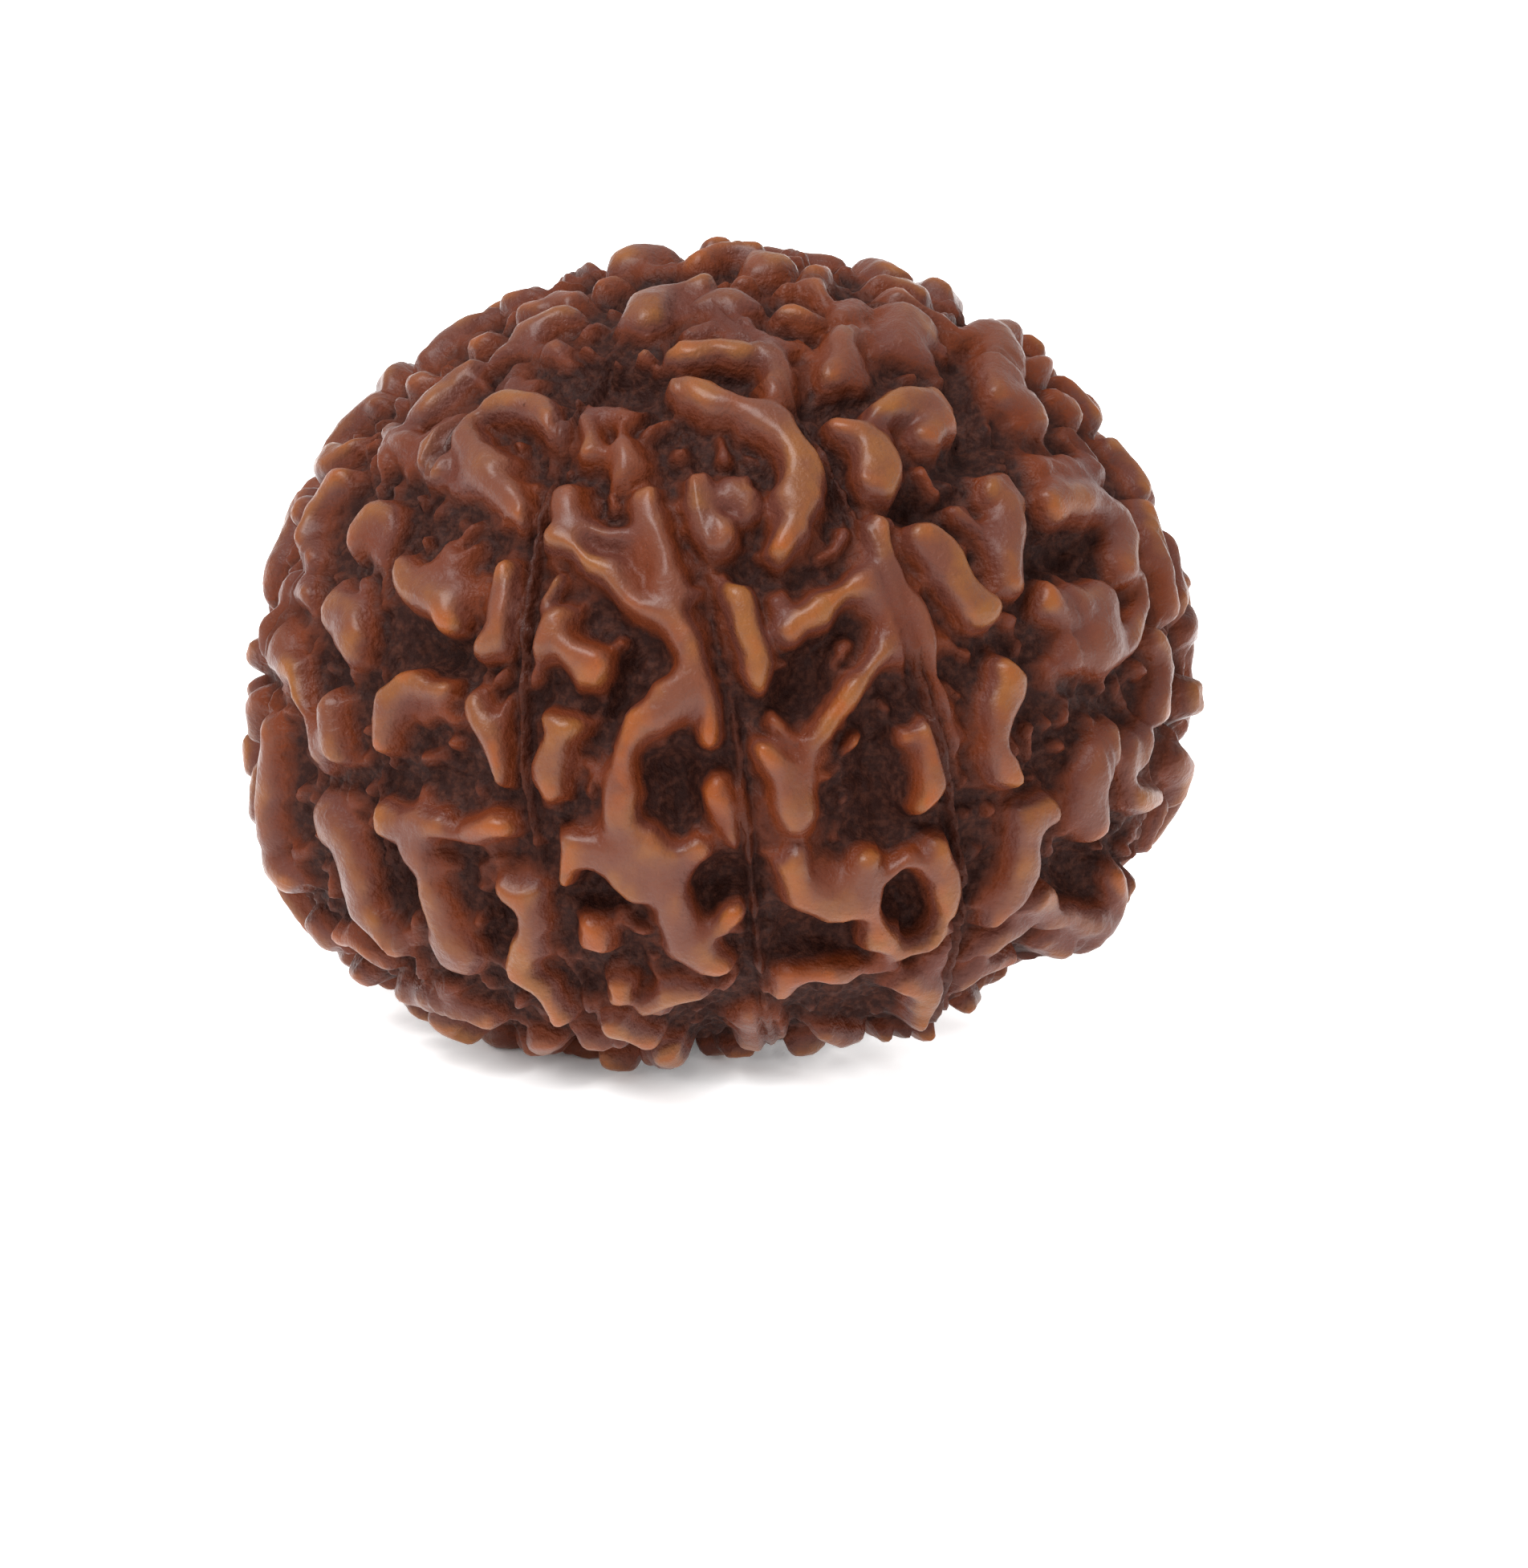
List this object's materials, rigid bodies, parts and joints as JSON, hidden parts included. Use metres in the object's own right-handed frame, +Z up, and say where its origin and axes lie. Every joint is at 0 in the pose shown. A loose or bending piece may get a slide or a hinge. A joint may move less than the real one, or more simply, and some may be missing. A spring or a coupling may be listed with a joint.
{
  "type": "rudraksha bead",
  "caption": "Natural dried fruit stone with seams from end to end, tall irregular rounded ridges and a narrow channel through its ends, for stringing or display.",
  "frame": {"origin": "centre of the box around the stone, on the surface that it stands on", "axes": "+Z up, -Y towards the side that the picture shows, +X to the right in the picture"},
  "size_m": [0.0248, 0.0248, 0.0202],
  "materials": {
    "stone": "oiled, half gloss"
  },
  "bodies": {
    "root": {"rudraksha_stone": "stone"}
  },
  "joints": []
}
